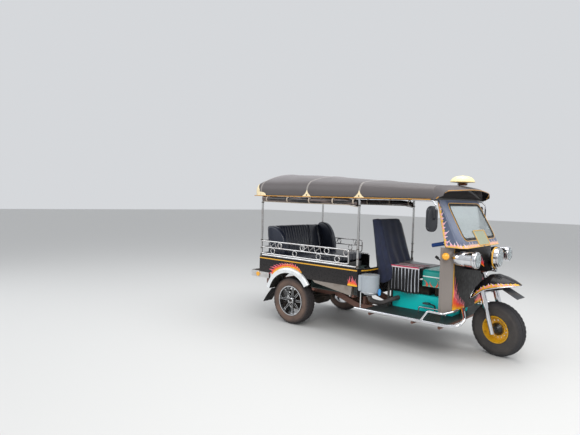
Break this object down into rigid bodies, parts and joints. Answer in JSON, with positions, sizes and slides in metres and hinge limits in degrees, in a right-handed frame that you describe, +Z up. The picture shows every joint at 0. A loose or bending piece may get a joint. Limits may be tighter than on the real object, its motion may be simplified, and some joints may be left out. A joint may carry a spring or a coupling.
{
  "type": "auto rickshaw",
  "caption": "Three-wheeled auto rickshaw with a railed passenger tub, vinyl canopy, raked windscreen, bullet lamps and a motorcycle-style front fork.",
  "frame": {"origin": "on the ground below the middle of the vehicle's overall length and width", "axes": "+X forward, +Y to the vehicle's left, +Z up"},
  "size_m": [3.0302, 1.3348, 1.7499],
  "materials": {
    "alloy": "rolled sheet",
    "amber": "clear moulded lens",
    "black_plastic": "moulded",
    "can_white": "gloss",
    "cast": "rough cast",
    "chrome": "plated",
    "cloth_navy": "woven cloth",
    "cloth_stripe": "striped weave",
    "cream": "moulded",
    "frame_red": "weathered oxide paint",
    "glass": "clear",
    "mat": "ribbed mat",
    "paint_black": "gloss",
    "paint_blue": "gloss",
    "paint_grey": "satin",
    "paint_teal": "gloss",
    "paint_yellow": "gloss",
    "plate": "satin",
    "rim_black": "gloss with polished lip",
    "rubber": "sheet rubber",
    "tube_bright": "polished tube",
    "tyre": "worn road rubber",
    "vinyl_black": "soft seat vinyl",
    "vinyl_grey": "coated canopy cloth"
  },
  "bodies": {
    "root": {"chassis_frame": "frame_red", "rear_axle": "cast", "leaf_springs": "cast", "engine_block": "cast", "gearbox": "cast", "exhaust": "cast", "driver_floor": "mat", "step_rail_right": "chrome", "step_rail_left": "chrome", "tub_floor": "paint_black", "tub_side_right": "paint_black", "tub_side_left": "paint_black", "tub_front": "paint_black", "tub_tail": "paint_black", "sill_boxes": "alloy", "rear_arch_right": "chrome", "rear_arch_left": "chrome", "mud_flaps": "rubber", "rear_bumper": "chrome", "amber_lamps": "amber", "side_rail_right": "tube_bright", "side_rail_left": "tube_bright", "tail_rail": "tube_bright", "bench_base": "vinyl_black", "bench_cushion": "vinyl_black", "bench_back": "vinyl_black", "canopy_posts": "tube_bright", "canopy_cover": "vinyl_grey", "canopy_visor": "vinyl_grey", "canopy_frame": "paint_black", "curtain_rolls": "vinyl_black", "roof_sign": "cream", "windscreen_panel": "paint_blue", "windscreen_glass": "glass", "number_plate": "plate", "leg_shield_front": "paint_black", "leg_shield_sides": "paint_grey", "nose_cowl": "paint_black", "headlamps": "chrome", "mirrors": "black_plastic", "seat_blanket": "cloth_stripe", "seat_jacket": "cloth_navy", "engine_cover": "paint_teal", "console_hood": "paint_teal", "driver_seat_frame": "paint_black", "driver_cushion": "vinyl_black", "driver_back": "vinyl_black", "air_cleaner": "can_white", "air_hose": "rubber", "controls": "black_plastic"},
    "steering": {"front_fork": "chrome", "handlebar": "paint_blue", "front_fender": "paint_black", "fender_flap": "rubber"},
    "front_wheel": {"front_rim": "paint_yellow", "front_tyre": "tyre"},
    "rear_wheel_right": {"rear_right_rim": "rim_black", "rear_right_tyre": "tyre"},
    "rear_wheel_left": {"rear_left_rim": "rim_black", "rear_left_tyre": "tyre"}
  },
  "joints": [
    {"name": "steer", "type": "hinge", "parent": "root", "child": "steering", "pos_m": [1.26, 0, 0.2578], "axis": [-0.2756, 0, 0.9613], "range_deg": [-19, 45]},
    {"name": "front_spin", "type": "hinge", "parent": "steering", "child": "front_wheel", "pos_m": [1.26, 0, 0.2578], "axis": [0.2146, 0.9748, 0.0615], "continuous": true},
    {"name": "rear_right_spin", "type": "hinge", "parent": "root", "child": "rear_wheel_right", "pos_m": [-0.857, -0.52, 0.269], "axis": [0, 1, 0], "continuous": true},
    {"name": "rear_left_spin", "type": "hinge", "parent": "root", "child": "rear_wheel_left", "pos_m": [-0.857, 0.52, 0.269], "axis": [0, 1, 0], "continuous": true}
  ]
}
